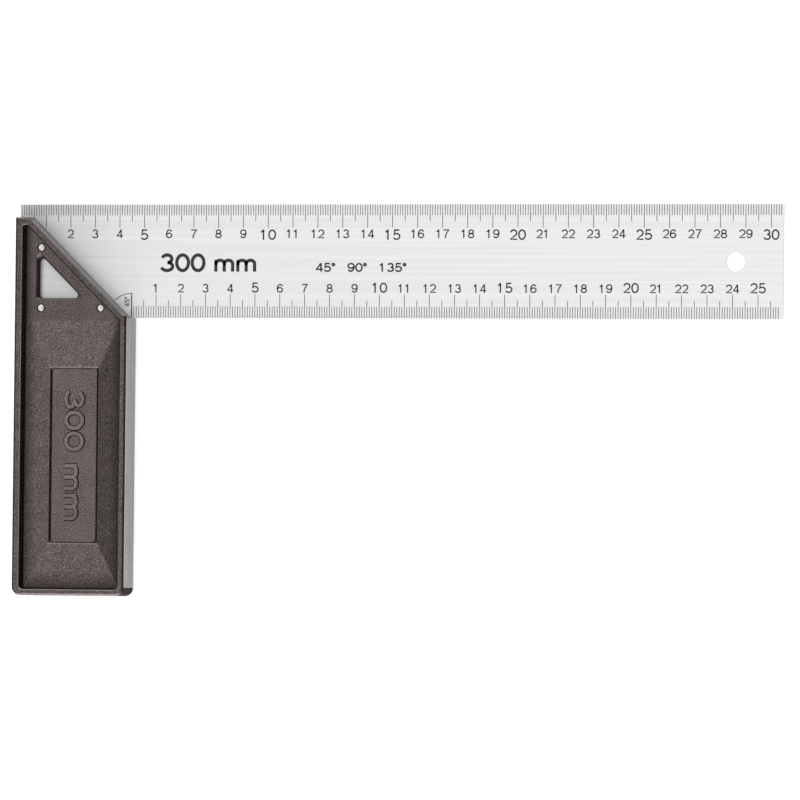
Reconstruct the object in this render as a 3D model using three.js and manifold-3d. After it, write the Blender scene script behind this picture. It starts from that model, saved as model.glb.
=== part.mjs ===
import * as THREE from "three";
import { mergeVertices } from "three/addons/utils/BufferGeometryUtils.js";
import Module from "manifold-3d";

// 300 mm try and mitre square: a thin steel blade held in the slot of a die-cast stock by three rivets.
// All lengths are millimetres. The pieces are drawn about the square's inner corner line:
// X runs along the blade from its short end, Y = 0 is the blade's lower edge, Z = 0 its mid-plane.

// Blade
const BLADE_LENGTH = 305.5;
const BLADE_WIDTH = 45;
const BLADE_THICKNESS = 1;
const HANG_HOLE_DIAMETER = 7.3;
const HANG_HOLE_FROM_END = 18.9;
const HANG_HOLE_HEIGHT = 22.3;

// Stock, outside
const STOCK_WIDTH = 45.5;
const STOCK_THICKNESS = 18;
const STOCK_BELOW_BLADE = 110;
const STOCK_TOP = 39.5;
const STOCK_FOOT_RADIUS = 3.3;
const STOCK_BROW_RADIUS = 2;

// Recess in each face of the stock: a drafted wall inside a narrow rim
const RIM_WIDTH = 2.4;
const OUTER_RIM_WIDTH = 2.9;
const TOP_RIM_WIDTH = 2.9;
const MITRE_RIM_WIDTH = 2.6;
const RECESS_FLOOR = 4.5;
const RECESS_DRAFT = 0.75;
const RECESS_CORNER_RADIUS = 1.2;

// Below the head the recess slopes down on four sides to a sunken panel
const SLOPE_START_Y = -0.9;
const PANEL_LEFT = 13;
const PANEL_WIDTH = 20;
const PANEL_TOP_Y = -19.5;
const PANEL_LENGTH = 70;
const PANEL_BRINK = 2;
const PANEL_FLOOR = 1;
const PANEL_BEVEL = 1;
const PANEL_CORNER_RADIUS = 0.8;

// Triangular window through the two cheeks of the head, with the blade behind it
const WINDOW_LEFT = 7.6;
const WINDOW_BOTTOM = 7.1;
const WINDOW_REACH = 34.7;
const WINDOW_DRAFT = 0.8;
const WINDOW_CORNER_RADIUS = 1.1;

// Rivets and fits
const RIVET_DIAMETER = 2.7;
const RIVET_CHAMFER = 0.2;
const RIVET_PLACES = { rivet_upper: [9.6, 27.8], rivet_lower: [9.6, 3.8], rivet_inner: [33.9, 3.8] };
const FIT_CLEARANCE = 0.05;

const ARC_STEPS = 6;
const ROUND_STEPS = 32;
const OVERCUT = 1;

const wasm = await Module();
wasm.setup();

// A three.js geometry as a solid that can be joined and cut.
function solid(geometry) {
  geometry.deleteAttribute("normal");
  geometry.deleteAttribute("uv");
  const merged = mergeVertices(geometry, 1e-4);
  const mesh = new wasm.Mesh({
    numProp: 3,
    vertProperties: new Float32Array(merged.attributes.position.array),
    triVerts: new Uint32Array(merged.index.array),
  });
  return new wasm.Manifold(mesh);
}

// A solid as a flat-shaded three.js geometry.
function geometryOf(body) {
  const mesh = body.getMesh();
  const indexed = new THREE.BufferGeometry();
  indexed.setAttribute("position", new THREE.BufferAttribute(mesh.vertProperties, 3));
  indexed.setIndex(new THREE.BufferAttribute(mesh.triVerts, 1));
  const flat = indexed.toNonIndexed();
  flat.computeVertexNormals();
  return flat;
}

// The corners of a convex outline, counter-clockwise, each side moved inwards by its own distance.
// Side i runs from corner i to corner i + 1.
function moveSides(corners, distances) {
  const sides = corners.map((corner, i) => {
    const next = corners[(i + 1) % corners.length];
    const along = next.clone().sub(corner).normalize();
    const inwards = new THREE.Vector2(-along.y, along.x);
    return { point: corner.clone().addScaledVector(inwards, distances[i]), along };
  });
  return sides.map((side, i) => {
    const before = sides[(i + sides.length - 1) % sides.length];
    const gap = side.point.clone().sub(before.point);
    const reach = gap.cross(side.along) / before.along.cross(side.along);
    return before.point.clone().addScaledVector(before.along, reach);
  });
}

// A convex outline, counter-clockwise, with each corner turned by an arc of its own radius.
function roundCorners(corners, radii) {
  const points = [];
  corners.forEach((corner, i) => {
    const radius = radii[i];
    if (radius === 0) {
      points.push(corner.clone());
      return;
    }
    const back = corners[(i + corners.length - 1) % corners.length].clone().sub(corner).normalize();
    const ahead = corners[(i + 1) % corners.length].clone().sub(corner).normalize();
    const half = Math.acos(back.dot(ahead)) / 2;
    const middle = back.clone().add(ahead).normalize();
    const centre = corner.clone().addScaledVector(middle, radius / Math.sin(half));
    const start = corner.clone().addScaledVector(back, radius / Math.tan(half)).sub(centre);
    const turn = Math.PI - 2 * half;
    for (let k = 0; k <= ARC_STEPS; k++) {
      const spoke = start.clone().rotateAround(new THREE.Vector2(), (turn * k) / ARC_STEPS);
      points.push(spoke.add(centre));
    }
  });
  return points;
}

// The closed solid between a lower and an upper outline that have the same number of points.
function loft(lower, lowZ, upper, highZ) {
  const count = lower.length;
  const positions = [];
  lower.forEach((p) => positions.push(p.x, p.y, lowZ));
  upper.forEach((p) => positions.push(p.x, p.y, highZ));
  const index = [];
  for (const [a, b, c] of THREE.ShapeUtils.triangulateShape(lower, [])) index.push(c, b, a);
  for (const [a, b, c] of THREE.ShapeUtils.triangulateShape(upper, [])) {
    index.push(count + a, count + b, count + c);
  }
  for (let i = 0; i < count; i++) {
    const j = (i + 1) % count;
    index.push(i, j, count + j);
    index.push(i, count + j, count + i);
  }
  const geometry = new THREE.BufferGeometry();
  geometry.setAttribute("position", new THREE.Float32BufferAttribute(positions, 3));
  geometry.setIndex(index);
  return solid(geometry);
}

// The same cut from the front and from the back, as one solid.
function bothFaces(lower, lowZ, upper, highZ) {
  return loft(lower, lowZ, upper, highZ).add(loft(upper, -highZ, lower, -lowZ));
}

function corner(x, y) {
  return new THREE.Vector2(x, y);
}

function rectangle(left, bottom, right, top) {
  return [corner(left, bottom), corner(right, bottom), corner(right, top), corner(left, top)];
}

// The stock's outline: foot corners, inner corner of the square, brow and outer top corner.
const stockCorners = [
  corner(0, -STOCK_BELOW_BLADE),
  corner(STOCK_WIDTH, -STOCK_BELOW_BLADE),
  corner(STOCK_WIDTH, 0),
  corner(STOCK_WIDTH - STOCK_TOP, STOCK_TOP),
  corner(0, STOCK_TOP),
];

// The recess's outline at a height: it narrows from the rim down to the recess floor.
function recessOutline(z) {
  const inset = (RECESS_DRAFT * (STOCK_THICKNESS / 2 - z)) / (STOCK_THICKNESS / 2 - RECESS_FLOOR);
  const rims = [RIM_WIDTH, RIM_WIDTH, MITRE_RIM_WIDTH, TOP_RIM_WIDTH, OUTER_RIM_WIDTH];
  const corners = moveSides(stockCorners, rims.map((rim) => rim + inset));
  return roundCorners(corners, [RECESS_CORNER_RADIUS, RECESS_CORNER_RADIUS, 0, 0.4, 0.4]);
}

// The sloping part's outline at a height: from the recess floor to the brink of the panel.
function slopeOutline(z) {
  const margin = RIM_WIDTH + RECESS_DRAFT;
  const rise = (z - PANEL_BRINK) / (RECESS_FLOOR - PANEL_BRINK);
  const left = THREE.MathUtils.lerp(PANEL_LEFT, OUTER_RIM_WIDTH + RECESS_DRAFT, rise);
  const right = THREE.MathUtils.lerp(PANEL_LEFT + PANEL_WIDTH, STOCK_WIDTH - margin, rise);
  const bottom = THREE.MathUtils.lerp(PANEL_TOP_Y - PANEL_LENGTH, margin - STOCK_BELOW_BLADE, rise);
  const top = THREE.MathUtils.lerp(PANEL_TOP_Y, SLOPE_START_Y, rise);
  return rectangle(left, bottom, right, top);
}

// The panel's outline at a height: its bevelled wall narrows from the brink to the panel's floor.
function panelOutline(z) {
  const inset = (PANEL_BEVEL * (PANEL_BRINK - z)) / (PANEL_BRINK - PANEL_FLOOR);
  const brink = rectangle(PANEL_LEFT, PANEL_TOP_Y - PANEL_LENGTH, PANEL_LEFT + PANEL_WIDTH, PANEL_TOP_Y);
  const corners = moveSides(brink, brink.map(() => inset));
  return roundCorners(corners, corners.map(() => PANEL_CORNER_RADIUS));
}

// The window's outline at a height: a right triangle that narrows towards the blade.
function windowOutline(z) {
  const inset = (WINDOW_DRAFT * (RECESS_FLOOR - z)) / RECESS_FLOOR;
  const triangle = [
    corner(WINDOW_LEFT, WINDOW_BOTTOM),
    corner(WINDOW_REACH - WINDOW_BOTTOM, WINDOW_BOTTOM),
    corner(WINDOW_LEFT, WINDOW_REACH - WINDOW_LEFT),
  ];
  const corners = moveSides(triangle, triangle.map(() => inset));
  return roundCorners(corners, corners.map(() => WINDOW_CORNER_RADIUS));
}

function makeStock() {
  const radii = [STOCK_FOOT_RADIUS, STOCK_FOOT_RADIUS, 0, STOCK_BROW_RADIUS, 0];
  const outline = roundCorners(stockCorners, radii);
  const half = STOCK_THICKNESS / 2;
  let stock = loft(outline, -half, outline, half);

  const over = half + OVERCUT;
  stock = stock.subtract(bothFaces(recessOutline(RECESS_FLOOR), RECESS_FLOOR, recessOutline(over), over));

  const slopeTop = RECESS_FLOOR + OVERCUT;
  const slope = bothFaces(slopeOutline(PANEL_BRINK), PANEL_BRINK, slopeOutline(slopeTop), slopeTop);
  const footprint = recessOutline(RECESS_FLOOR);
  stock = stock.subtract(slope.intersect(loft(footprint, -slopeTop, footprint, slopeTop)));

  const panelTop = PANEL_BRINK + OVERCUT / 2;
  stock = stock.subtract(bothFaces(panelOutline(PANEL_FLOOR), PANEL_FLOOR, panelOutline(panelTop), panelTop));

  const windowTop = RECESS_FLOOR + OVERCUT;
  stock = stock.subtract(bothFaces(windowOutline(0), 0, windowOutline(windowTop), windowTop));

  const slotHalf = BLADE_THICKNESS / 2 + FIT_CLEARANCE;
  const slot = rectangle(-OVERCUT, -FIT_CLEARANCE, STOCK_WIDTH + OVERCUT, STOCK_TOP + OVERCUT);
  stock = stock.subtract(loft(slot, -slotHalf, slot, slotHalf));

  for (const [x, y] of Object.values(RIVET_PLACES)) {
    const radius = RIVET_DIAMETER / 2 + FIT_CLEARANCE;
    const hole = new THREE.CylinderGeometry(radius, radius, STOCK_THICKNESS, ROUND_STEPS);
    hole.rotateX(Math.PI / 2);
    hole.translate(x, y, 0);
    stock = stock.subtract(solid(hole));
  }
  return geometryOf(stock);
}

function makeBlade() {
  const outline = new THREE.Shape(rectangle(0, 0, BLADE_LENGTH, BLADE_WIDTH));
  const hangHole = new THREE.Path();
  const hangX = BLADE_LENGTH - HANG_HOLE_FROM_END;
  hangHole.absarc(hangX, HANG_HOLE_HEIGHT, HANG_HOLE_DIAMETER / 2, 0, 2 * Math.PI, true);
  outline.holes.push(hangHole);
  for (const [x, y] of Object.values(RIVET_PLACES)) {
    const hole = new THREE.Path();
    hole.absarc(x, y, RIVET_DIAMETER / 2 + FIT_CLEARANCE, 0, 2 * Math.PI, true);
    outline.holes.push(hole);
  }
  const settings = { depth: BLADE_THICKNESS, bevelEnabled: false, curveSegments: ROUND_STEPS };
  const blade = new THREE.ExtrudeGeometry(outline, settings);
  blade.translate(0, 0, -BLADE_THICKNESS / 2);
  return blade;
}

// A rivet pin, its two ends level with the recess floors of the two cheeks.
function makeRivet() {
  const radius = RIVET_DIAMETER / 2;
  const profile = [
    corner(0, -RECESS_FLOOR),
    corner(radius - RIVET_CHAMFER, -RECESS_FLOOR),
    corner(radius, -RECESS_FLOOR + RIVET_CHAMFER),
    corner(radius, RECESS_FLOOR - RIVET_CHAMFER),
    corner(radius - RIVET_CHAMFER, RECESS_FLOOR),
    corner(0, RECESS_FLOOR),
  ];
  return new THREE.LatheGeometry(profile, ROUND_STEPS).rotateX(Math.PI / 2);
}

const paintedCasting = new THREE.MeshStandardMaterial({ color: 0x5d5554, roughness: 0.6, metalness: 0.1 });
const brushedSteel = new THREE.MeshStandardMaterial({ color: 0xe2e2e0, roughness: 0.35, metalness: 1 });
const brightPin = new THREE.MeshStandardMaterial({ color: 0xf0eeec, roughness: 0.3, metalness: 1 });

function piece(name, geometry, material) {
  const mesh = new THREE.Mesh(geometry, material);
  mesh.name = name;
  return mesh;
}

const square = new THREE.Group();
square.add(piece("stock", makeStock(), paintedCasting));
square.add(piece("blade", makeBlade(), brushedSteel));
for (const [name, [x, y]] of Object.entries(RIVET_PLACES)) {
  const rivet = piece(name, makeRivet(), brightPin.clone());
  rivet.position.set(x, y, 0);
  square.add(rivet);
}

// The square lies on the stock's back face, centred on the middle of its own bounding box.
square.position.set(-BLADE_LENGTH / 2, (STOCK_BELOW_BLADE - BLADE_WIDTH) / 2, STOCK_THICKNESS / 2);

const part = new THREE.Group();
part.add(square);

export default part;
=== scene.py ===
"""Looks of a 300 mm try and mitre square: a brushed steel blade riveted into a painted die-cast stock.

Shapes are drawn in millimetres from the blade's lower corner in the stock: X runs along the blade, Y = 0 is
its lower edge and Z = 0 its mid-plane. place() puts such a point into the row frame.
"""

import math

import bpy
from mathutils import Matrix, Vector
from mathutils.geometry import tessellate_polygon


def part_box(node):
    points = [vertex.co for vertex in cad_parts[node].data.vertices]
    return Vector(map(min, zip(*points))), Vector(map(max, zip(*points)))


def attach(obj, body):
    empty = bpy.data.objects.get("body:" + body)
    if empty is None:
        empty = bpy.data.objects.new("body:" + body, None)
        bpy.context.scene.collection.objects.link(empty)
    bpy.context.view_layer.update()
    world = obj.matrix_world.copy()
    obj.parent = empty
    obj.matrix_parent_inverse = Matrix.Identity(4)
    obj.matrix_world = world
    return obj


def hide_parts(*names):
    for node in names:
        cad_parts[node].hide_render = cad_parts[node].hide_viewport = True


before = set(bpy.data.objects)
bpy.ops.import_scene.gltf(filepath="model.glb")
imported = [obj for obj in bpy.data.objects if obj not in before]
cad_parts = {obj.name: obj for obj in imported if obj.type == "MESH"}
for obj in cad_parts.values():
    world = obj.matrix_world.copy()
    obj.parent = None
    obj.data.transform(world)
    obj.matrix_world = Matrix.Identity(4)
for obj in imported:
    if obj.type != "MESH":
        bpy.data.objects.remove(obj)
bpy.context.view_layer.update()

MM = 0.001
BODY = "root"

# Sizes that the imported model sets
BLADE_LOW, BLADE_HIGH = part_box("blade")
STOCK_LOW, STOCK_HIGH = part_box("stock")
ORIGIN = Vector((BLADE_LOW.x, BLADE_LOW.y, (BLADE_LOW.z + BLADE_HIGH.z) / 2))
BLADE_LENGTH = (BLADE_HIGH.x - BLADE_LOW.x) / MM
BLADE_WIDTH = (BLADE_HIGH.y - BLADE_LOW.y) / MM
BLADE_FACE = (BLADE_HIGH.z - BLADE_LOW.z) / MM / 2
STOCK_WIDTH = (STOCK_HIGH.x - STOCK_LOW.x) / MM
STOCK_FACE = (STOCK_HIGH.z - STOCK_LOW.z) / MM / 2
STOCK_FOOT = (STOCK_LOW.y - ORIGIN.y) / MM
STOCK_TOP = (STOCK_HIGH.y - ORIGIN.y) / MM

# Stock, in millimetres, as in the CAD source
FOOT_RADIUS = 3.3
BROW_RADIUS = 2.0
CROWN_RADIUS = 0.5
RIMS = (2.4, 2.4, 2.6, 2.9, 2.9)
RECESS_FLOOR = 4.5
RECESS_DRAFT = 0.75
FOLD_Y = -0.9
MITRE_FOLD_PART = 0.019
PANEL_LEFT = 13.0
PANEL_WIDTH = 20.0
PANEL_TOP = -19.5
PANEL_LENGTH = 70.0
PANEL_CORNER = 0.8
PANEL_BRINK = 2.0
PANEL_FLOOR = 1.0
PANEL_DRAFT = 1.0
WINDOW_LEFT = 7.6
WINDOW_BOTTOM = 7.1
WINDOW_REACH = 34.7
WINDOW_DRAFT = 0.8
WINDOW_CORNER = 1.4
SLOT_FACE = BLADE_FACE + 0.05

# Rounded and broken edges of the stock
CHAMFER = 0.8
CHAMFER_ROUNDING = 0.15
POLISHED_STRIP = 1.3
LIP_RADIUS = 0.35
ROOT_RADIUS = 0.45
BRINK_RADIUS = 0.4
RECESS_FOOT_RADIUS = 1.7
RECESS_BROW_RADIUS = 1.1
RECESS_CROWN_RADIUS = 1.2
ARC_STEPS = 6

# Blade
BLADE_CORNER = 0.4
BLADE_BROKEN_EDGE = 0.08

# Holes and pins: (x, y, radius) and (x, y)
HANG_HOLE = (BLADE_LENGTH - 18.9, 22.3, 3.65)
RIVETS = {"rivet_upper": (9.6, 27.8), "rivet_lower": (9.6, 3.8), "rivet_inner": (33.9, 3.8)}
RIVET_RADIUS = 1.35
RIVET_HOLE_RADIUS = 1.45
RIVET_SINK_RADIUS = 1.75
RIVET_STANDS_OUT = 0.12
ROUND_STEPS = 48

PAINT, BARE = 0, 1
SHARP_DEGREES = 32.0
RELIEF_WEAR = 0.15


def place(x, y, z):
    return ORIGIN + MM * Vector((x, y, z))


# ---------------------------------------------------------------- outlines


def turned(corners, radii):
    """A convex counter-clockwise outline as one list of points per corner: an arc, or the bare corner."""
    arcs = []
    for i, corner in enumerate(corners):
        if radii[i] == 0:
            arcs.append([corner.copy()])
            continue
        back = (corners[i - 1] - corner).normalized()
        ahead = (corners[(i + 1) % len(corners)] - corner).normalized()
        half = back.angle(ahead) / 2
        centre = corner + (back + ahead).normalized() * (radii[i] / math.sin(half))
        start = corner + back * (radii[i] / math.tan(half)) - centre
        turn = math.pi - 2 * half
        turns = (Matrix.Rotation(turn * k / ARC_STEPS, 2) for k in range(ARC_STEPS + 1))
        arcs.append([centre + matrix @ start for matrix in turns])
    return arcs


def moved_in(corners, distances):
    """The corners of a convex counter-clockwise outline with side i (corner i to i + 1) moved inwards."""
    lines = []
    for i, corner in enumerate(corners):
        along = (corners[(i + 1) % len(corners)] - corner).normalized()
        lines.append((corner + Vector((-along.y, along.x)) * distances[i], along))
    result = []
    for i, (point, along) in enumerate(lines):
        before, direction = lines[i - 1]
        reach = (point - before).cross(along) / direction.cross(along)
        result.append(before + direction * reach)
    return result


def circle(x, y, radius):
    angles = (2 * math.pi * k / ROUND_STEPS for k in range(ROUND_STEPS))
    return [Vector((x + radius * math.cos(a), y + radius * math.sin(a))) for a in angles]


def rectangle(x0, y0, x1, y1):
    return [Vector((x0, y0)), Vector((x1, y0)), Vector((x1, y1)), Vector((x0, y1))]


def widening(path, closed):
    """For each point of a line, the direction to its left, longer at corners so that a band stays even."""
    directions = []
    for i, point in enumerate(path):
        ahead = path[(i + 1) % len(path)] - point
        back = point - path[i - 1]
        if not closed and i == 0:
            back = ahead
        if not closed and i == len(path) - 1:
            ahead = back
        left, next_left = (Vector((-v.y, v.x)).normalized() for v in (back, ahead))
        middle = (left + next_left).normalized()
        directions.append(middle / max(middle.dot(left), 0.6))
    return directions


def rounded_profile(points, radii, steps=4):
    """An open profile of (across, height) points with its inner corners turned by arcs."""
    result = [Vector(points[0])]
    for i in range(1, len(points) - 1):
        corner = Vector(points[i])
        back = (Vector(points[i - 1]) - corner).normalized()
        ahead = (Vector(points[i + 1]) - corner).normalized()
        half = back.angle(ahead) / 2
        reach = radii[i - 1] / math.tan(half)
        centre = corner + (back + ahead).normalized() * (radii[i - 1] / math.sin(half))
        start, end = corner + back * reach - centre, corner + ahead * reach - centre
        turn = start.angle(end)
        if start.cross(end) < 0:
            turn = -turn
        result += [centre + Matrix.Rotation(turn * k / steps, 2) @ start for k in range(steps + 1)]
    result.append(Vector(points[-1]))
    return result


# ---------------------------------------------------------------- mesh making


class Skin:
    """Points and faces of one piece, collected in millimetres and turned into an object at the end."""

    def __init__(self):
        self.points, self.wear, self.faces, self.kinds, self.smooth = [], [], [], [], []

    def ring(self, outline, z, wear=0.0):
        first = len(self.points)
        self.points += [(p.x, p.y, z) for p in outline]
        self.wear += [wear] * len(outline)
        return list(range(first, len(self.points)))

    def face(self, indices, kind=PAINT, flip=False, smooth=True):
        self.faces.append(tuple(reversed(indices)) if flip else tuple(indices))
        self.kinds.append(kind)
        self.smooth.append(smooth)

    def strip(self, a, b, kind=PAINT, flip=False, smooth=True):
        """Quads between two open rows of points; equal neighbours in a row give triangles."""
        for i in range(len(a) - 1):
            loop = [a[i], a[i + 1], b[i + 1], b[i]]
            unique = [v for k, v in enumerate(loop) if v != loop[k - 1]]
            self.face(unique, kind[i] if isinstance(kind, list) else kind, flip, smooth)

    def bridge(self, a, b, kind=PAINT, flip=False):
        self.strip(a + a[:1], b + b[:1], kind, flip)

    def fill(self, loops, kind=PAINT, down=False):
        """A flat face at one height: the first loop is its edge and the others are holes."""
        flat = [i for loop in loops for i in loop]
        corners = [[Vector(self.points[i]) for i in loop] for loop in loops]
        for triangle in tessellate_polygon(corners):
            a, b, c = (flat[k] for k in triangle)
            pa, pb, pc = (Vector(self.points[k]) for k in (a, b, c))
            up = (pb - pa).cross(pc - pa).z > 0
            self.face((a, b, c), kind, flip=up == down, smooth=False)

    def band(self, path, width, low, high, bevel=0.0, flip=False):
        """A band that follows a line from height low to high, narrower on top by the bevel."""
        closed = (path[0] - path[-1]).length < 1e-6
        path = path[:-1] if closed else path
        rows = []
        for half, height in ((width / 2, low), (width / 2 - bevel, high)):
            for side in (1, -1):
                points = [p + d * side * half for p, d in zip(path, widening(path, closed))]
                row = self.ring(points, height, RELIEF_WEAR if height == high else 0.0)
                rows.append(row + row[:1] if closed else row)
        low_left, low_right, high_left, high_right = rows
        around = [high_right, high_left, low_left, low_right]
        for a, b in zip(around, around[1:] + around[:1]):
            self.strip(a, b, flip=flip, smooth=False)
        if not closed:
            self.face((low_right[0], high_right[0], high_left[0], low_left[0]), flip=flip, smooth=False)
            self.face((low_left[-1], high_left[-1], high_right[-1], low_right[-1]), flip=flip, smooth=False)

    def build(self, name, materials):
        mesh = bpy.data.meshes.new(name)
        mesh.from_pydata([place(*p) for p in self.points], [], self.faces)
        for material in materials:
            mesh.materials.append(material)
        mesh.polygons.foreach_set("material_index", self.kinds)
        attribute = mesh.attributes.new("wear", "FLOAT", "POINT")
        attribute.data.foreach_set("value", self.wear)
        mesh.validate()
        mesh.set_sharp_from_angle(angle=math.radians(SHARP_DEGREES))
        mesh.polygons.foreach_set("use_smooth", self.smooth)
        piece = bpy.data.objects.new(name, mesh)
        bpy.context.scene.collection.objects.link(piece)
        normals = piece.modifiers.new("even_shading", "WEIGHTED_NORMAL")
        normals.keep_sharp = True
        normals.weight = 100
        return piece


def finish_piece(piece, slot, *nodes):
    """Ride the piece on the body and let it stand for CAD nodes; its slot argument is not used."""
    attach(piece, BODY)
    if nodes:
        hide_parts(*nodes)
    return piece


# ---------------------------------------------------------------- materials


SOCKETS = {
    "colour": "Base Color",
    "roughness": "Roughness",
    "metallic": "Metallic",
    "normal": "Normal",
    "edge_tint": "Specular Tint",
    "anisotropic": "Anisotropic",
    "tangent": "Tangent",
}


class Nodes:
    """A small helper that adds nodes to one material and links them."""

    def __init__(self, name):
        self.material = bpy.data.materials.new(name)
        self.material.use_nodes = True
        self.tree = self.material.node_tree
        self.shader = self.tree.nodes["Principled BSDF"]

    def add(self, kind, inputs=None, **settings):
        node = self.tree.nodes.new(kind)
        for key, value in settings.items():
            setattr(node, key, value)
        for key, value in (inputs or {}).items():
            if isinstance(value, bpy.types.NodeSocket):
                self.tree.links.new(value, node.inputs[key])
            else:
                node.inputs[key].default_value = value
        return node

    def position(self, scale=(1.0, 1.0, 1.0)):
        """The point on the piece in the row frame, in millimetres, stretched by scale."""
        coordinates = self.add("ShaderNodeTexCoord").outputs["Object"]
        factors = tuple(s / MM for s in scale)
        return self.add("ShaderNodeMapping", {"Vector": coordinates, "Scale": factors}).outputs["Vector"]

    def noise(self, vector, scale, detail=2.0, roughness=0.5):
        values = {"Vector": vector, "Scale": scale, "Detail": detail, "Roughness": roughness}
        return self.add("ShaderNodeTexNoise", values).outputs["Fac"]

    def spread(self, value, low, high, to_low=0.0, to_high=1.0):
        values = {"Value": value, "From Min": low, "From Max": high, "To Min": to_low, "To Max": to_high}
        return self.add("ShaderNodeMapRange", values).outputs["Result"]

    def math(self, operation, a, b):
        return self.add("ShaderNodeMath", {0: a, 1: b}, operation=operation).outputs["Value"]

    def split(self, vector):
        return self.add("ShaderNodeSeparateXYZ", {"Vector": vector}).outputs

    def mix(self, factor, a, b):
        node = self.add("ShaderNodeMix", data_type="RGBA")
        for socket, value in zip((node.inputs[0], node.inputs[6], node.inputs[7]), (factor, a, b)):
            if isinstance(value, bpy.types.NodeSocket):
                self.tree.links.new(value, socket)
            else:
                socket.default_value = value
        return node.outputs[2]

    def bump(self, height, distance, strength):
        values = {"Height": height, "Distance": distance * MM, "Strength": strength}
        return self.add("ShaderNodeBump", values).outputs["Normal"]

    def set(self, **values):
        """Set the shader's sockets, named by the keys of SOCKETS, and give back the material."""
        for key, value in values.items():
            socket = self.shader.inputs[SOCKETS[key]]
            if isinstance(value, bpy.types.NodeSocket):
                self.tree.links.new(value, socket)
            else:
                socket.default_value = value
        return self.material


# Painted shade on the paint: where it lies, in millimetres, and how strong it is, from 0 to 1
CORNER_REACH = 4.4
FOOT_SPREAD = 0.65
WALL_SHADE = 0.55
HEAD_SHADE = 0.25
RIM_SHADE = (0.22, 0.42)
OUTSIDE = -2.0
BLUR = 0.1


def from_walls(n, x, y):
    """The distances from the feet of the recess's left, right and lower walls, less than 0 outside them."""
    left = n.math("SUBTRACT", x, ORIGIN.x / MM + RIMS[4] + RECESS_DRAFT)
    right = n.math("SUBTRACT", ORIGIN.x / MM + STOCK_WIDTH - RIMS[1] - RECESS_DRAFT, x)
    foot = n.math("SUBTRACT", y, ORIGIN.y / MM + STOCK_FOOT + RIMS[0] + RECESS_DRAFT)
    return left, right, foot


def from_plane(n, value, plane):
    """The distance from a plane, whichever side the point is on."""
    return n.math("ABSOLUTE", n.math("SUBTRACT", value, plane), 0.0)


def recess_film(n, y, height, nearest):
    """Painted shade at the foot of the walls, all over the head's floor, and on the walls up to their lips.
    """
    fold = ORIGIN.y / MM + FOLD_Y
    corner = n.spread(nearest, 0.0, CORNER_REACH, 1.0, 0.0)
    head = n.spread(y, fold - 0.5, fold + 0.3, 0.0, HEAD_SHADE)
    wall = n.spread(nearest, -0.8, -0.1, WALL_SHADE, 1.0)
    inside = n.math("MULTIPLY", wall, n.spread(nearest, -0.85, -0.8))
    below_rim = n.spread(height, STOCK_FACE - 0.8, STOCK_FACE - 0.4, 1.0, 0.0)
    return n.math("MULTIPLY", n.math("MAXIMUM", corner, head), n.math("MULTIPLY", inside, below_rim))


def groove_film(n, height):
    """Painted shade on the walls of the panel and on the flanks of its raised figures."""
    return n.spread(from_plane(n, height, PANEL_FLOOR + 0.4), 0.2, 0.35, 1.0, 0.0)


def rim_film(n, y, height):
    """Light painted shade on the flat rims, stronger round the head."""
    fold = ORIGIN.y / MM + FOLD_Y
    on_rim = n.spread(height, STOCK_FACE - 0.15, STOCK_FACE - 0.05)
    return n.math("MULTIPLY", on_rim, n.spread(y, fold, fold + 4, *RIM_SHADE))


def outside_film(n, height, outermost):
    """Painted shade on the outer sides that are painted, below their chamfers."""
    below_chamfer = n.spread(height, STOCK_FACE - CHAMFER - BLUR, STOCK_FACE - CHAMFER, 1.0, 0.0)
    return n.math("MULTIPLY", n.spread(outermost, OUTSIDE - BLUR, OUTSIDE, 1.0, 0.0), below_chamfer)


def side_edge_film(n, x):
    """Painted shade on the chamfers along the two long sides."""
    from_middle = from_plane(n, x, ORIGIN.x / MM + STOCK_WIDTH / 2)
    from_side = n.math("SUBTRACT", STOCK_WIDTH / 2, from_middle)
    return n.spread(from_side, CHAMFER - 0.1, CHAMFER + 0.05, 1.0, 0.0)


def dull_film(n, at):
    """How much painted shade darkens the paint, and roughens it a little: most at the foot of walls, in
    grooves and outside, less on flat rims.
    """
    x, y, z = n.split(at)
    height = from_plane(n, z, ORIGIN.z / MM)
    left, right, foot = from_walls(n, x, y)
    sides = n.math("MINIMUM", left, right)
    nearest = n.math("MINIMUM", sides, n.math("MULTIPLY", foot, FOOT_SPREAD))
    shade_parts = [
        recess_film(n, y, height, nearest),
        groove_film(n, height),
        rim_film(n, y, height),
        outside_film(n, height, n.math("MINIMUM", sides, foot)),
        side_edge_film(n, x),
    ]
    shade_amount = shade_parts[0]
    for other in shade_parts[1:]:
        shade_amount = n.math("MAXIMUM", shade_amount, other)
    return shade_amount


def foot_edge(n, at):
    """1 on the chamfers along the foot, which carry a painted highlight, and 0 elsewhere."""
    along = n.split(at)
    edge = ORIGIN.y / MM + STOCK_FOOT + CHAMFER
    foot = STOCK_FACE - CHAMFER
    on_chamfer = n.spread(from_plane(n, along["Z"], ORIGIN.z / MM), foot, foot + BLUR)
    return n.math("MULTIPLY", n.spread(along["Y"], edge, edge + BLUR, 1.0, 0.0), on_chamfer)


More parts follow.
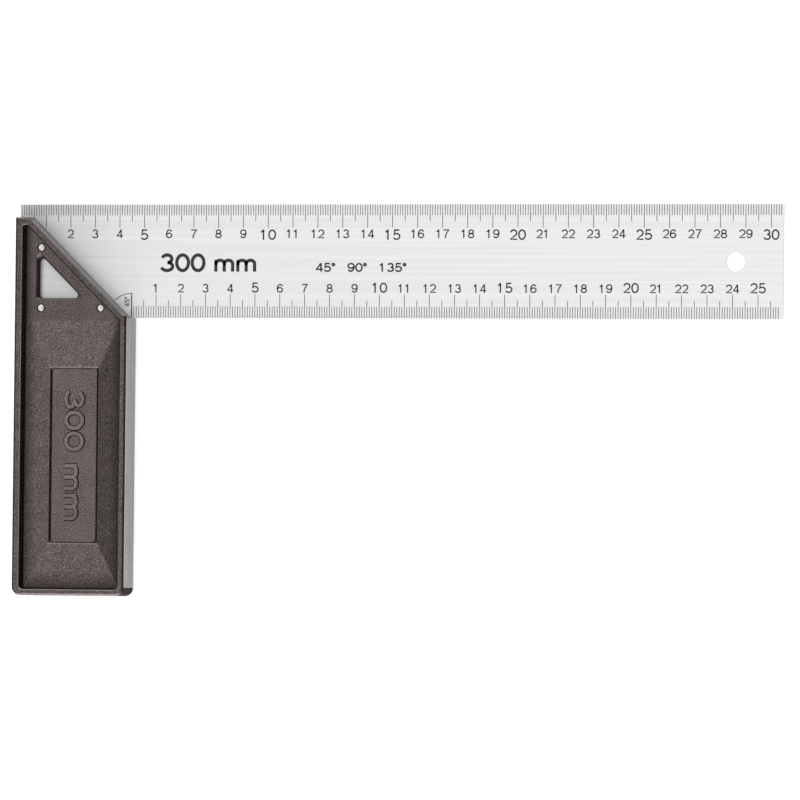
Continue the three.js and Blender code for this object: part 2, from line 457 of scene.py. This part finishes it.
def paint_material():
    """Dark warm metallic paint with a sandy texture, thinner along the edges: painted shade darkens its
    corners and a painted highlight lightens its foot chamfers.
    """
    n = Nodes("stock_paint")
    at = n.position()
    sand = n.noise(at, 2.3, detail=4.0, roughness=0.7)
    patches = n.noise(at, 0.16, detail=3.0)
    drawn_wear = n.add("ShaderNodeAttribute", attribute_name="wear").outputs["Fac"]
    # Worn edges, and a painted highlight on the foot chamfers
    wear = n.math("MAXIMUM", drawn_wear, n.math("MULTIPLY", foot_edge(n, at), 0.22))
    # Painted shade: darker paint at the foot of walls, in grooves, on rims and on the outer sides
    shade_amount = dull_film(n, at)
    base = n.mix(n.spread(patches, 0.35, 0.65), (0.101, 0.080, 0.078, 1), (0.133, 0.106, 0.103, 1))
    dark = n.mix(n.spread(sand, 0.32, 0.5, 0.7, 0.0), base, (0.040, 0.030, 0.028, 1))
    light = n.mix(n.spread(sand, 0.5, 0.68, 0.0, 1.0), dark, (0.38, 0.325, 0.31, 1))
    worn = n.mix(n.spread(wear, 0.0, 1.0, 0.0, 0.8), light, (0.50, 0.47, 0.46, 1))
    # Painted shade: the paint turns near-black where the shade amount is high
    shaded = n.mix(n.spread(shade_amount, 0.0, 1.0, 0.0, 0.66), worn, (0.014, 0.008, 0.007, 1))
    normal = n.bump(sand, 0.12, 0.75)
    roughness = n.math("ADD", n.spread(sand, 0.3, 0.7, 0.33, 0.45), n.math("MULTIPLY", shade_amount, 0.06))
    tint = (0.16, 0.15, 0.15, 1)
    return n.set(colour=shaded, roughness=roughness, metallic=0.85, normal=normal, edge_tint=tint)


def bare_material():
    """Machined aluminium with cutter lines, pits and streaks, bright on rubbed edges, darkened by painted
    shade on the head.
    """
    n = Nodes("stock_bare_metal")
    lines = n.noise(n.position((0.25, 0.25, 7.0)), 1.0, detail=3.0)
    streaks = n.noise(n.position((0.5, 0.07, 2.2)), 1.0, detail=4.0, roughness=0.6)
    wear = n.add("ShaderNodeAttribute", attribute_name="wear").outputs["Fac"]
    metal = n.mix(n.spread(streaks, 0.38, 0.62), (0.165, 0.161, 0.160, 1), (0.29, 0.285, 0.284, 1))
    pits = n.noise(n.position(), 1.3, detail=3.0, roughness=0.65)
    pitted = n.mix(n.spread(pits, 0.36, 0.6, 0.4, 0.0), metal, (0.09, 0.087, 0.086, 1))
    rubbed = n.mix(n.spread(wear, -1.0, 0.0, 0.7, 0.0), pitted, (0.48, 0.475, 0.475, 1))
    # Painted shade: the bare metal darkens on the head, above the blade's lower edge
    head = n.spread(n.split(n.position())["Y"], ORIGIN.y / MM, ORIGIN.y / MM + 3, 0.0, 0.3)
    shaded = n.mix(head, rubbed, (0.05, 0.047, 0.046, 1))
    roughness = n.spread(lines, 0.3, 0.7, 0.30, 0.46)
    normal = n.bump(lines, 0.012, 0.5)
    return n.set(colour=shaded, roughness=roughness, metallic=1.0, normal=normal)


def blade_material():
    """Stainless steel, brushed lengthwise so it spreads light across its width, with painted shade near the
    stock.
    """
    n = Nodes("blade_brushed_steel")
    strokes = n.noise(n.position((0.03, 5.0, 1.0)), 1.0, detail=4.0, roughness=0.6)
    streaks = n.noise(n.position((0.008, 0.9, 1.0)), 1.0, detail=2.0)
    unshaded = n.mix(n.spread(streaks, 0.3, 0.7), (0.69, 0.69, 0.688, 1), (0.75, 0.75, 0.748, 1))
    x = n.split(n.position())["X"]
    start = ORIGIN.x / MM
    # Painted shade on the blade: darkest over its first 12 mm, gone 5 mm before the stock's inner working
    # face
    shade_near_stock = n.spread(x, start + 12, start + STOCK_WIDTH - 5, 0.19, 0.0)
    colour = n.mix(shade_near_stock, unshaded, (0.2, 0.198, 0.197, 1))
    roughness = n.spread(strokes, 0.3, 0.7, 0.44, 0.54)
    normal = n.bump(strokes, 0.004, 0.5)
    across = n.add("ShaderNodeTangent", direction_type="RADIAL", axis="X").outputs["Tangent"]
    n.set(colour=colour, roughness=roughness, metallic=1.0)
    return n.set(normal=normal, anisotropic=0.8, tangent=across)


def rivet_material():
    """Bright turned steel, finely marked all over."""
    n = Nodes("rivet_bright_steel")
    marks = n.noise(n.position(), 2.2, detail=3.0)
    roughness = n.spread(marks, 0.3, 0.7, 0.28, 0.45)
    normal = n.bump(marks, 0.02, 0.6)
    colour = n.mix(n.spread(marks, 0.35, 0.65), (0.60, 0.58, 0.57, 1), (0.78, 0.765, 0.76, 1))
    return n.set(colour=colour, roughness=roughness, metallic=1.0, normal=normal)


def mark_material():
    """Black oxide left by etching."""
    n = Nodes("etched_black")
    grain = n.noise(n.position(), 4.0, detail=2.0)
    colour = n.mix(grain, (0.012, 0.012, 0.013, 1), (0.035, 0.035, 0.037, 1))
    return n.set(colour=colour, roughness=n.spread(grain, 0.3, 0.7, 0.5, 0.7))


# ---------------------------------------------------------------- stock

STOCK_CORNERS = [
    Vector((0, STOCK_FOOT)),
    Vector((STOCK_WIDTH, STOCK_FOOT)),
    Vector((STOCK_WIDTH, 0)),
    Vector((STOCK_WIDTH - STOCK_TOP, STOCK_TOP)),
    Vector((0, STOCK_TOP)),
]

# Where each part of a stock ring starts in its list of points
FOOT_LEFT = 0
FOOT_RIGHT = ARC_STEPS + 1
INNER = 2 * ARC_STEPS + 2
MITRE_FOLD = INNER + 1
BROW = MITRE_FOLD + 1
CROWN = BROW + ARC_STEPS + 1
LEFT_SLOT = CROWN + ARC_STEPS + 1
LEFT_FOLD = LEFT_SLOT + 1
RING_SIZE = LEFT_FOLD + 1


def stock_ring(distances, foot_radius, brow_radius, crown_radius):
    """One turn round the stock, each side moved in by its own distance, always with RING_SIZE points."""
    corners = moved_in(STOCK_CORNERS, distances)
    foot_left, foot_right, inner, brow, crown = turned(
        corners, (foot_radius, foot_radius, 0, brow_radius, crown_radius)
    )
    fold = inner[0].lerp(corners[3], MITRE_FOLD_PART)
    left = [Vector((corners[0].x, y)) for y in (0, FOLD_Y)]
    return foot_left + foot_right + inner + [fold] + brow + crown + left


def side_kinds():
    """The finish of each stretch of a stock ring: bare on the two working faces and the mitre face."""
    kinds = [PAINT] * RING_SIZE
    for i in (INNER - 1, INNER, MITRE_FOLD, LEFT_SLOT - 1, LEFT_SLOT, LEFT_FOLD):
        kinds[i] = BARE
    return kinds


def rolled(ring, first, last):
    """The points of a ring from one place to another, round the end of the list if need be."""
    count = (last - first) % RING_SIZE + 1
    return [ring[(first + k) % RING_SIZE] for k in range(count)]


def edge_profile():
    """From the machined side over the painted chamfer to the rim: (inset, height, wear).

    Wear is below zero where bare metal is rubbed bright, and above zero where paint is thin.
    """
    foot = STOCK_FACE - CHAMFER
    rows = [(0.0, foot - POLISHED_STRIP, 0.0), (0.0, foot - 0.12, -1.0), (0.04, foot + 0.02, -0.8)]
    chamfer = [(0.04, foot + 0.02), (CHAMFER, STOCK_FACE), (CHAMFER + 0.4, STOCK_FACE)]
    rows += [(inset, height, 0.0) for inset, height in rounded_profile(chamfer, (CHAMFER_ROUNDING,))[1:-1]]
    rows.append((CHAMFER + 0.35, STOCK_FACE, 0.0))
    return rows


def stock_half(skin, side, kinds):
    """The face, rim, recess, slopes and panel on one side of the stock, and the holes in its cheek."""
    flip = side < 0
    rings = []
    for inset, height, wear in edge_profile():
        brow, crown = max(BROW_RADIUS - inset, 0.3), max(CROWN_RADIUS - inset / 2, 0.2)
        points = stock_ring([inset] * 5, FOOT_RADIUS - inset, brow, crown)
        rings.append(skin.ring(points, side * height, wear))
    for a, b in zip(rings[:2], rings[1:3]):
        skin.bridge(a, b, kinds, flip)
    chamfer_kinds = [BARE if i == MITRE_FOLD else PAINT for i in range(RING_SIZE)]
    for a, b in zip(rings[2:], rings[3:-1]):
        skin.bridge(a, b, chamfer_kinds, flip)
    skin.bridge(rings[-2], rings[-1], PAINT, flip)

    floor = recess_wall(skin, side, rings[-1])
    panel_and_slopes(skin, side, floor)
    holes, ends = cheek_holes(skin, side)
    head = rolled(floor, MITRE_FOLD, LEFT_FOLD)
    skin.fill([head] + holes, PAINT, down=flip)
    return rings[0], ends


def recess_wall(skin, side, before):
    """From the rim's inner edge over the lip and down to the recess floor; gives back the last ring."""
    wall = [(-LIP_RADIUS - 0.2, STOCK_FACE), (0, STOCK_FACE), (RECESS_DRAFT, RECESS_FLOOR)]
    rows = rounded_profile(wall + [(2.0, RECESS_FLOOR)], (LIP_RADIUS, ROOT_RADIUS), steps=5)[:-1]
    for k, (extra, height) in enumerate(rows):
        tighter = max(extra, 0.0)
        foot = RECESS_FOOT_RADIUS - tighter
        brow, crown = RECESS_BROW_RADIUS - 0.7 * tighter, RECESS_CROWN_RADIUS - 0.7 * tighter
        points = stock_ring([rim + extra for rim in RIMS], foot, brow, crown)
        on_lip = k in (2, 3)
        after = skin.ring(points, side * height, 1.0 if on_lip else 0.0)
        skin.bridge(before, after, PAINT, side < 0)
        before = after
    return before


def panel_ring(inset):
    """A turn round the panel's edge, moved in from its brink."""
    bottom = PANEL_TOP - PANEL_LENGTH
    brink = rectangle(PANEL_LEFT, bottom, PANEL_LEFT + PANEL_WIDTH, PANEL_TOP)
    return [p for arc in turned(moved_in(brink, [inset] * 4), [PANEL_CORNER] * 4) for p in arc]


def panel_and_slopes(skin, side, floor):
    """The sunk panel, and the folded slopes that lead down to it from the recess's floor."""
    flip = side < 0
    outset, slope = 0.3, 0.2
    profile = [(-outset, PANEL_BRINK + outset * slope), (0, PANEL_BRINK)]
    profile += [(PANEL_DRAFT, PANEL_FLOOR), (PANEL_DRAFT + 0.6, PANEL_FLOOR)]
    rows = rounded_profile(profile, (BRINK_RADIUS, BRINK_RADIUS), steps=4)
    rings = []
    for k, (inset, height) in enumerate(rows):
        on_brink = k in (3, 4)
        rings.append(skin.ring(panel_ring(inset), side * height, 1.0 if on_brink else 0.0))
    for a, b in zip(rings, rings[1:]):
        skin.bridge(a, b, PAINT, flip)
    skin.fill([rings[-1]], PAINT, down=flip)

    size = ARC_STEPS + 1
    bottom_left, bottom_right, top_right, top_left = (rings[0][k * size : (k + 1) * size] for k in range(4))
    inner, fold_right, fold_left = floor[INNER], floor[MITRE_FOLD], floor[LEFT_FOLD]
    foot = floor[FOOT_LEFT : FOOT_RIGHT + size]
    facets = [
        (foot, bottom_left + bottom_right),
        ([foot[-1], inner], [bottom_right[-1], top_right[0]]),
        ([inner] * size, top_right),
        ([inner, fold_right], [top_right[-1]] * 2),
        ([fold_right, fold_left], [top_right[-1], top_left[0]]),
        ([fold_left] * size, top_left),
        ([fold_left, foot[0]], [top_left[-1], bottom_left[0]]),
    ]
    for outer, inner_edge in facets:
        skin.strip(outer, inner_edge, PAINT, flip, smooth=False)


def cheek_holes(skin, side):
    """The window and the rivet holes of one cheek: their edges in the recess floor and at the slot."""
    flip = side < 0
    triangle = [
        Vector((WINDOW_LEFT, WINDOW_BOTTOM)),
        Vector((WINDOW_REACH - WINDOW_BOTTOM, WINDOW_BOTTOM)),
        Vector((WINDOW_LEFT, WINDOW_REACH - WINDOW_LEFT)),
    ]
    end = WINDOW_DRAFT * (RECESS_FLOOR - SLOT_FACE) / RECESS_FLOOR
    rows = [(-0.4, RECESS_FLOOR), (-0.05, RECESS_FLOOR), (0.4, RECESS_FLOOR - 0.4), (end, SLOT_FACE)]
    edges, ends = [], []
    rings = []
    for inset, height in rows:
        outline = [p for arc in turned(moved_in(triangle, [inset] * 3), [WINDOW_CORNER] * 3) for p in arc]
        rings.append(skin.ring(outline, side * height))
    edges.append(rings[0])
    ends.append(rings[-1])
    for k, (a, b) in enumerate(zip(rings, rings[1:])):
        skin.bridge(a, b, BARE if k == 1 else PAINT, flip)
    for x, y in RIVETS.values():
        sink = [
            (RIVET_SINK_RADIUS, RECESS_FLOOR),
            (RIVET_SINK_RADIUS - 0.12, RECESS_FLOOR - 0.06),
            (RIVET_HOLE_RADIUS, RECESS_FLOOR - 0.45),
            (RIVET_HOLE_RADIUS, SLOT_FACE),
        ]
        rings = [skin.ring(circle(x, y, radius), side * height) for radius, height in sink]
        edges.append(rings[0])
        ends.append(rings[-1])
        for a, b in zip(rings, rings[1:]):
            skin.bridge(a, b, PAINT, flip)
    return edges, ends


def make_stock(paint, bare_metal):
    """Both halves of the casting, joined by the sides below the blade and by the slot that it sits in."""
    skin = Skin()
    kinds = side_kinds()
    front, front_holes = stock_half(skin, 1, kinds)
    back, back_holes = stock_half(skin, -1, kinds)
    outline = stock_ring([0] * 5, FOOT_RADIUS, BROW_RADIUS, CROWN_RADIUS)
    slot_points = rolled(outline, INNER, LEFT_SLOT)
    slot_front = skin.ring(slot_points, SLOT_FACE)
    slot_back = skin.ring(slot_points, -SLOT_FACE)

    upper_kinds = [kinds[INNER + k] for k in range(len(slot_points) - 1)]
    skin.strip(slot_front, rolled(front, INNER, LEFT_SLOT), upper_kinds)
    skin.strip(rolled(back, INNER, LEFT_SLOT), slot_back, upper_kinds)

    low_front, low_back = rolled(front, LEFT_SLOT, INNER), rolled(back, LEFT_SLOT, INNER)
    low_kinds = [kinds[(LEFT_SLOT + k) % RING_SIZE] for k in range(len(low_front) - 1)]
    skin.strip(low_back[1:-1], low_front[1:-1], low_kinds[1:-1])
    left = [low_back[0], low_back[1], low_front[1], low_front[0], slot_front[-1], slot_back[-1]]
    right = [low_back[-2], low_back[-1], slot_back[0], slot_front[0], low_front[-1], low_front[-2]]
    skin.face(left, BARE)
    skin.face(right, BARE)

    skin.face((slot_front[-1], slot_front[0], slot_back[0], slot_back[-1]), BARE)
    skin.fill([slot_front] + front_holes, BARE, down=True)
    skin.fill([slot_back] + back_holes, BARE, down=False)
    return finish_piece(skin.build("stock_casting", [paint, bare_metal]), "stock_casting", "stock")


# ---------------------------------------------------------------- blade and rivets


def make_blade(steel):
    """A flat strip with broken edges, the hang hole, and the rivet holes that the stock hides."""
    skin = Skin()
    corners = rectangle(0, 0, BLADE_LENGTH, BLADE_WIDTH)
    holes = [(*HANG_HOLE, 0.12)] + [(x, y, RIVET_HOLE_RADIUS, 0.02) for x, y in RIVETS.values()]

    def outline(inset):
        return [p for arc in turned(moved_in(corners, [inset] * 4), [BLADE_CORNER] * 4) for p in arc]

    sides = {}
    for side in (1, -1):
        face = skin.ring(outline(BLADE_BROKEN_EDGE), side * BLADE_FACE)
        edge = skin.ring(outline(0), side * (BLADE_FACE - BLADE_BROKEN_EDGE))
        skin.bridge(edge, face, flip=side < 0)
        loops, walls = [face], [edge]
        for x, y, radius, broken in holes:
            mouth = skin.ring(circle(x, y, radius + broken), side * BLADE_FACE)
            wall = skin.ring(circle(x, y, radius), side * (BLADE_FACE - broken))
            skin.bridge(mouth, wall, flip=side < 0)
            loops.append(mouth)
            walls.append(wall)
        skin.fill(loops, down=side < 0)
        sides[side] = walls
    skin.bridge(sides[-1][0], sides[1][0])
    for low, high in zip(sides[-1][1:], sides[1][1:]):
        skin.bridge(high, low)
    return finish_piece(skin.build("blade_strip", [steel]), "blade_steel", "blade")


def make_rivet(name, x, y, steel):
    """A pin with a slightly crowned, chamfered end in each recess."""
    skin = Skin()
    crown = RECESS_FLOOR + RIVET_STANDS_OUT
    profile = [
        (0.35, crown - 0.07),
        (0.55, crown - 0.05),
        (0.68, crown),
        (RIVET_RADIUS - 0.4, crown - 0.01),
        (RIVET_RADIUS - 0.16, crown - 0.05),
        (RIVET_RADIUS - 0.05, crown - 0.13),
        (RIVET_RADIUS, crown - 0.25),
    ]
    ends = {}
    for side in (1, -1):
        rings = [skin.ring(circle(x, y, radius), side * height) for radius, height in profile]
        skin.fill([rings[0]], down=side < 0)
        for a, b in zip(rings, rings[1:]):
            skin.bridge(b, a, flip=side < 0)
        ends[side] = rings[-1]
    skin.bridge(ends[-1], ends[1])
    return finish_piece(skin.build(name + "_pin", [steel]), "rivet_steel", name)


# ---------------------------------------------------------------- graduations and lettering

# Millimetres, but for stroke weights and gaps, which are parts of a character's height
SCALE_START = 0.5
TICK_WIDTH = 0.25
EDGE_GAP = 0.05
MARK_TOP = 0.02
MARK_SUNK = 0.01
TOP_TICKS = {10: 9.3, 5: 6.7, 1: 4.3}
BOTTOM_TICKS = {10: 9.5, 5: 7.1, 1: 4.7}
TOP_DIGITS = 35.05
BOTTOM_DIGITS = 10.15
TOP_DIGIT_HEIGHT = 3.45
TOP_FIFTH_HEIGHT = 4.1
BOTTOM_DIGIT_HEIGHT = 3.4
BOTTOM_FIFTH_HEIGHT = 3.95
FIGURE_WEIGHT = 0.15
BOLD_WEIGHT = 0.19
FIGURE_GAP = 0.07

# Words on the blade: text, middle, foot line, height, stretch
SIZE_WORDS = ("300 mm", 76.5, 18.4, 7.0, 1.1)
ANGLE_WORDS = ("45\u00b0   90\u00b0   135\u00b0", 138, 18.4, 3.4, 1.15)

# The small mark beside the mitre face; its text: distance left of the inner working face, y, height
MITRE_ARC_RADIUS = 9.8
MITRE_ARC_WIDTH = 0.3
MITRE_TEXT = (0.8, 6.4, 1.9)


def bow(x, y, across, up, start, end):
    """Points along an elliptical arc between two angles in degrees."""
    steps = max(2, round(abs(end - start) / 15))
    angles = (math.radians(start + (end - start) * k / steps) for k in range(steps + 1))
    return [Vector((x + across * math.cos(a), y + up * math.sin(a))) for a in angles]


def line(*points):
    return [Vector(p) for p in points]


def figure_lines():
    """For each character, its width and the centre lines of its strokes, drawn one unit tall."""
    width = 0.74 + FIGURE_GAP
    six = [bow(0.37, 0.32, 0.30, 0.26, 0, 360), line((0.07, 0.32)) + bow(0.40, 0.46, 0.33, 0.48, 178, 38)]
    arch = line((0.10, 0.36)) + bow(0.32, 0.44, 0.22, 0.20, 165, 0) + line((0.54, 0))
    return {
        "0": (width, [bow(0.37, 0.5, 0.31, 0.44, 0, 360)]),
        "1": (width, [line((0.07, 0.75), (0.22, 0.79), (0.31, 0.93)), line((0.33, 0), (0.33, 1))]),
        "2": (width, [bow(0.37, 0.66, 0.29, 0.28, 170, -40) + line((0.08, 0.06), (0.70, 0.06))]),
        "3": (width, [bow(0.36, 0.72, 0.25, 0.22, 165, -85), bow(0.36, 0.29, 0.30, 0.23, 85, -165)]),
        "4": (width, [line((0.52, 0), (0.52, 1)), line((0.50, 0.95), (0.07, 0.27), (0.72, 0.27))]),
        "5": (width, [line((0.62, 0.94), (0.18, 0.94)) + bow(0.36, 0.33, 0.31, 0.27, 140, -155)]),
        "6": (width, six),
        "7": (width, [line((0.06, 0.94), (0.68, 0.94), (0.46, 0.62), (0.32, 0.3), (0.27, 0))]),
        "8": (width, [bow(0.37, 0.73, 0.25, 0.21, 0, 360), bow(0.37, 0.29, 0.30, 0.23, 0, 360)]),
        "9": (width, [[Vector((0.74, 1)) - p for p in stroke] for stroke in six]),
        "m": (1.15, [line((0.10, 0), (0.10, 0.66)), arch, [p + Vector((0.44, 0)) for p in arch]]),
        "\u00b0": (0.42, [bow(0.17, 0.82, 0.12, 0.12, 0, 360)]),
        " ": (0.4, []),
    }


def lettering(text, height, stretch=1.0):
    """The centre lines of a row of characters, centred on x = 0 and standing on y = 0, in millimetres."""
    figures = figure_lines()
    at = (FIGURE_GAP - sum(figures[c][0] for c in text)) / 2
    rows = []
    for c in text:
        width, strokes = figures[c]
        rows += [[Vector(((at + p.x) * stretch, p.y)) * height for p in stroke] for stroke in strokes]
        at += width
    return rows


class Marks:
    """Thin black marks on one face of the blade, drawn as seen from that side."""

    def __init__(self, side):
        self.side = side
        self.skin = Skin()

    def prism(self, outline):
        low = self.skin.ring(outline, BLADE_FACE - MARK_SUNK)
        high = self.skin.ring(outline, BLADE_FACE + MARK_TOP)
        self.skin.bridge(low, high)
        self.skin.fill([high])
        self.skin.fill([low], down=True)

    def bar(self, x0, y0, x1, y1):
        self.prism(rectangle(x0, y0, x1, y1))

    def tick(self, x, y0, y1):
        self.bar(x - TICK_WIDTH / 2, y0, x + TICK_WIDTH / 2, y1)

    def stroke(self, path, width):
        self.skin.band(path, width, BLADE_FACE - MARK_SUNK, BLADE_FACE + MARK_TOP)

    def text(self, text, x, y, height, weight=FIGURE_WEIGHT, quarter_turns=0, stretch=1.0):
        """Lettering centred on x, standing on y, mirrored on the back so that it reads from there."""
        turn = Matrix.Rotation(quarter_turns * math.pi / 2, 2)
        for path in lettering(text, height, stretch):
            turned_path = [turn @ p for p in path]
            self.stroke([Vector((x + self.side * p.x, y + p.y)) for p in turned_path], weight * height)

    def build(self, name, material):
        if self.side < 0:
            self.skin.points = [(x, y, -z) for x, y, z in self.skin.points]
            self.skin.faces = [tuple(reversed(f)) for f in self.skin.faces]
        return finish_piece(self.skin.build(name, [material]), "blade_steel")


def tick_length(lengths, millimetre):
    return next(length for step, length in lengths.items() if millimetre % step == 0)


def make_marks(name, side, material):
    """The two millimetre scales with their figures, the words and the mitre mark of one face."""
    marks = Marks(side)
    for millimetre in range(0, int(BLADE_LENGTH - SCALE_START)):
        length = tick_length(TOP_TICKS, millimetre)
        marks.tick(SCALE_START + millimetre, BLADE_WIDTH - length, BLADE_WIDTH - EDGE_GAP)
    for millimetre in range(0, int(BLADE_LENGTH - STOCK_WIDTH)):
        marks.tick(STOCK_WIDTH + millimetre, EDGE_GAP, tick_length(BOTTOM_TICKS, millimetre))
    for centimetre in range(2, 31):
        height = TOP_DIGIT_HEIGHT if centimetre % 5 else TOP_FIFTH_HEIGHT
        marks.text(str(centimetre), SCALE_START + 10 * centimetre, TOP_DIGITS - height, height)
    for centimetre in range(1, 26):
        height = BOTTOM_DIGIT_HEIGHT if centimetre % 5 else BOTTOM_FIFTH_HEIGHT
        marks.text(str(centimetre), STOCK_WIDTH + 10 * centimetre, BOTTOM_DIGITS, height)
    for text, x, y, height, stretch in (SIZE_WORDS, ANGLE_WORDS):
        marks.text(text, x, y, height, BOLD_WEIGHT, stretch=stretch)
    marks.stroke(bow(STOCK_WIDTH, 0, MITRE_ARC_RADIUS, MITRE_ARC_RADIUS, 90, 133), MITRE_ARC_WIDTH)
    marks.bar(STOCK_WIDTH - 0.05, EDGE_GAP, STOCK_WIDTH + 0.3, MITRE_ARC_RADIUS + 0.1)
    inset, y, height = MITRE_TEXT
    marks.text("45\u00b0", STOCK_WIDTH - inset, y, height, BOLD_WEIGHT, quarter_turns=side)
    return marks.build(name, material)


# Raised figures in the panel, in millimetres, but for stretch
RELIEF_LETTERS = 7.6
RELIEF_STRETCH = 1.35
RELIEF_WEIGHT = 2.3
RELIEF_RISE = 0.8
RELIEF_BEVEL = 0.45
RELIEF_STEP = 0.01


def make_relief(name, side, paint):
    """Raised figures on the floor of the panel, reading from the head down.

    Each stroke is a little lower than the one before, so that no two tops share a plane where they cross.
    """
    skin = Skin()
    middle_x, middle_y = PANEL_LEFT + PANEL_WIDTH / 2, PANEL_TOP - PANEL_LENGTH / 2
    for k, path in enumerate(lettering("300 mm", RELIEF_LETTERS, RELIEF_STRETCH)):
        low = side * (PANEL_FLOOR - 0.05 - k * RELIEF_STEP)
        high = side * (PANEL_FLOOR + RELIEF_RISE - k * RELIEF_STEP)
        placed = [Vector((middle_x + side * (p.y - RELIEF_LETTERS / 2), middle_y - p.x)) for p in path]
        skin.band(placed, RELIEF_WEIGHT, low, high, RELIEF_BEVEL, flip=side < 0)
    return finish_piece(skin.build(name, [paint]), "stock_casting")


# ---------------------------------------------------------------- stage, light and camera

# Camera: distances in millimetres, and its aim as the middle X and the shifts across and up
CAMERA_YAW = math.radians(-11.06)
CAMERA_PITCH = math.radians(-1.65)
CAMERA_ROLL = math.radians(-0.585)
CAMERA_DISTANCE = 2673
CAMERA_AIM = (150.5, 3.18, -31.95)
CAMERA_LENS = 306.3


def make_camera():
    """A long lens nearly straight above, turned a little towards the inner working face."""
    turn = Matrix.Rotation(CAMERA_ROLL, 3, "Z") @ Matrix.Rotation(CAMERA_PITCH, 3, "X")
    turn = turn @ Matrix.Rotation(CAMERA_YAW, 3, "Y")
    axes = turn.transposed()
    middle, across, up = CAMERA_AIM
    position = Vector((middle, 0, 0)) + axes @ Vector((across, up, CAMERA_DISTANCE))
    data = bpy.data.cameras.new("camera")
    data.lens = CAMERA_LENS
    data.sensor_width = 36
    data.clip_start, data.clip_end = 0.1, 50
    camera = bpy.data.objects.new("camera", data)
    bpy.context.scene.collection.objects.link(camera)
    camera.matrix_world = Matrix.Translation(place(*position)) @ axes.to_4x4()
    bpy.context.scene.camera = camera


def make_floor():
    """A plain pale floor that glows a little, so that it stays bright all round the object."""
    n = Nodes("pale_floor")
    tint = n.noise(n.position(), 0.01, detail=2.0)
    colour = n.mix(tint, (0.90, 0.90, 0.90, 1), (0.93, 0.93, 0.93, 1))
    material = n.set(colour=colour, roughness=0.9)
    n.shader.inputs["Emission Color"].default_value = (1, 1, 1, 1)
    n.shader.inputs["Emission Strength"].default_value = 0.55
    mesh = bpy.data.meshes.new("floor")
    half = 10
    corners = [(*corner, 0) for corner in rectangle(-half, -half, half, half)]
    mesh.from_pydata(corners, [], [(0, 1, 2, 3)])
    mesh.materials.append(material)
    floor = bpy.data.objects.new("floor", mesh)
    bpy.context.scene.collection.objects.link(floor)


def softbox(name, radiance, width, length, location, tilt=0):
    """A rectangular area light of the given radiance, facing down, or tipped about X to face along Y."""
    data = bpy.data.lights.new(name, "AREA")
    data.shape = "RECTANGLE"
    data.size, data.size_y = width, length
    data.energy = radiance * math.pi * width * length
    light = bpy.data.objects.new(name, data)
    bpy.context.scene.collection.objects.link(light)
    light.location = location
    light.rotation_euler = (math.radians(tilt), 0, 0)


def make_light():
    """One long box overhead, a bright panel beyond each end of the stock, and dim surroundings."""
    world = bpy.data.worlds.new("studio")
    bpy.context.scene.world = world
    world.use_nodes = True
    background = world.node_tree.nodes["Background"]
    background.inputs["Color"].default_value = (1, 1, 1, 1)
    background.inputs["Strength"].default_value = 0.1
    softbox("overhead", radiance=1.13, width=3.42, length=10.0, location=(-0.30, 0.0, 3.0))
    softbox("near_panel", radiance=4.2, width=4.0, length=2.0, location=(0.0, -4.0, 1.1), tilt=90)
    softbox("far_panel", radiance=2.9, width=4.0, length=2.0, location=(0.0, 4.0, 1.1), tilt=-90)
    bpy.context.scene.view_settings.view_transform = "Standard"


make_camera()
make_floor()
make_light()
paint = paint_material()
steel = blade_material()
bright = rivet_material()
black = mark_material()
make_stock(paint, bare_material())
make_blade(steel)
for rivet_name, (rivet_x, rivet_y) in RIVETS.items():
    make_rivet(rivet_name, rivet_x, rivet_y, bright)
make_marks("scales_front", 1, black)
make_marks("scales_back", -1, black)
make_relief("relief_front", 1, paint)
make_relief("relief_back", -1, paint)
